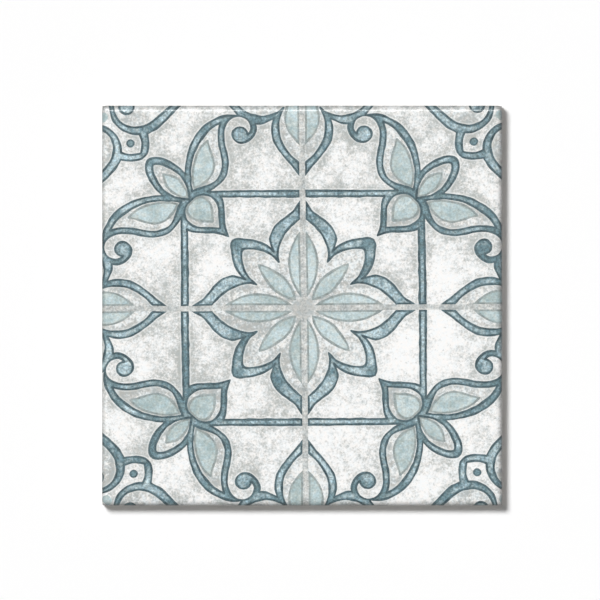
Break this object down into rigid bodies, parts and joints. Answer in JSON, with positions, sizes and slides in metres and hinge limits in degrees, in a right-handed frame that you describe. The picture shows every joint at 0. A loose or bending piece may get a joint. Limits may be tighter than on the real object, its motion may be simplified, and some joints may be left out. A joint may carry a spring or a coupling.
{
  "type": "ceramic wall tile",
  "caption": "Square glazed ceramic wall tile with a cushion edge round the printed face and a pocketed, keyed back.",
  "frame": {"origin": "middle of the back, on the plane that the ribs of the keyed back rest on", "axes": "+Z out of the glazed face, +Y towards the top of the printed pattern, +X to its right"},
  "size_m": [0.1524, 0.1524, 0.0063],
  "materials": {
    "glazed_ceramic": "glossy white-grey glaze over a printed blue-grey ornament; bare fired clay on the lower sides and back"
  },
  "bodies": {
    "root": {"tile": "glazed_ceramic"}
  },
  "joints": []
}
